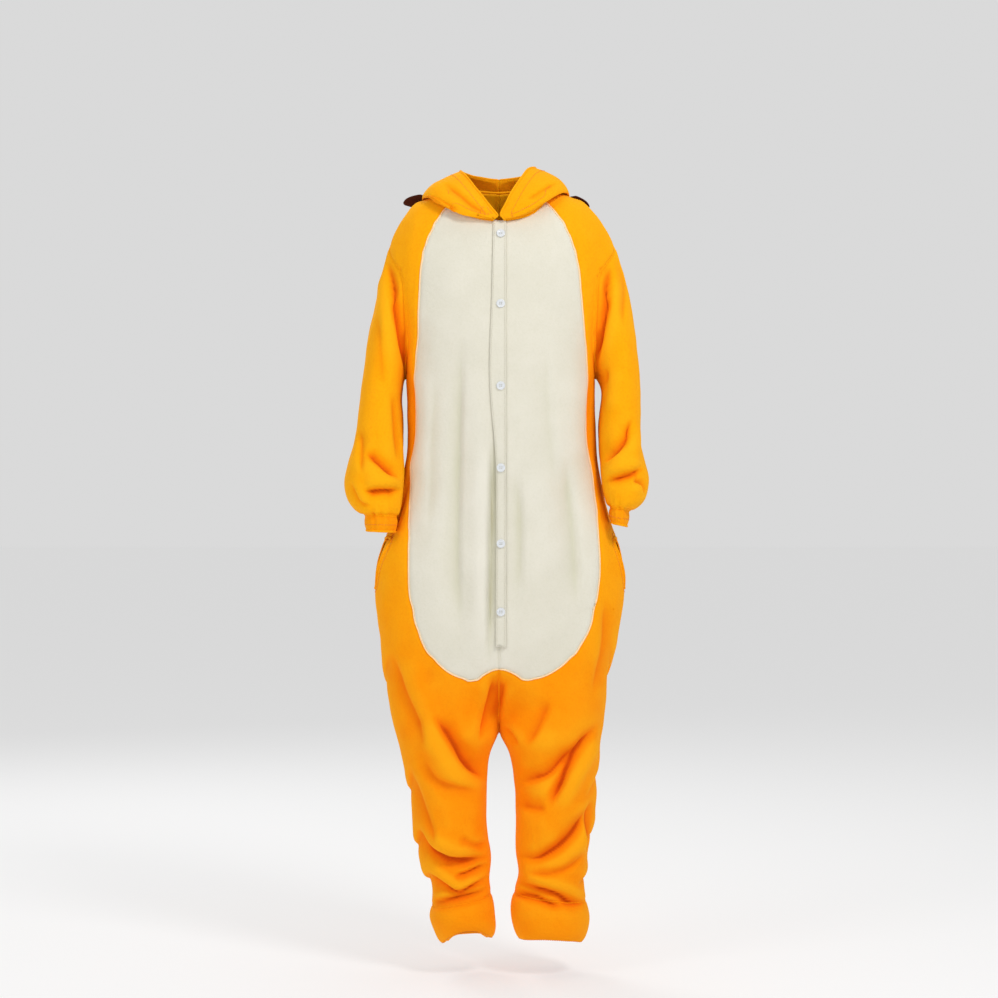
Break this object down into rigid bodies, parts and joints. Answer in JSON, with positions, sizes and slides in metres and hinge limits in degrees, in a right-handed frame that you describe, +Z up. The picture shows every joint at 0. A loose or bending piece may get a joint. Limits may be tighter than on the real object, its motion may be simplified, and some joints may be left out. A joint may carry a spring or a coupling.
{
  "type": "lion onesie",
  "caption": "Hooded one-piece fleece lion costume in orange with a cream buttoned belly, bloused sleeves and legs, and a brown mane, worn and hollow.",
  "frame": {"origin": "between the wearer's shoulders at the height where the shoulder seams rest, inside the neck opening", "axes": "+Z up along the body, -Y to the front, +X to the wearer's left"},
  "size_m": [0.54, 0.3301, 1.3825],
  "materials": {
    "orange_fleece": "matte brushed flannel with a short soft nap",
    "cream_fleece": "matte brushed flannel with a short soft nap",
    "brown_fleece": "matte brushed flannel with a short soft nap",
    "button": "pale translucent moulded plastic"
  },
  "bodies": {
    "root": {"belly_right": "cream_fleece", "belly_left": "cream_fleece", "placket": "cream_fleece", "front_right": "orange_fleece", "front_left": "orange_fleece", "back_right": "orange_fleece", "back_left": "orange_fleece", "sleeve_right": "orange_fleece", "sleeve_left": "orange_fleece", "wrist_cuff_right": "orange_fleece", "wrist_cuff_left": "orange_fleece", "ankle_cuff_right": "orange_fleece", "ankle_cuff_left": "orange_fleece", "hood_right": "orange_fleece", "hood_left": "orange_fleece", "pocket_right": "orange_fleece", "pocket_left": "orange_fleece", "mane_right": "brown_fleece", "mane_left": "brown_fleece", "button_1": "button", "button_2": "button", "button_3": "button", "button_4": "button", "button_5": "button", "button_6": "button"}
  },
  "joints": []
}
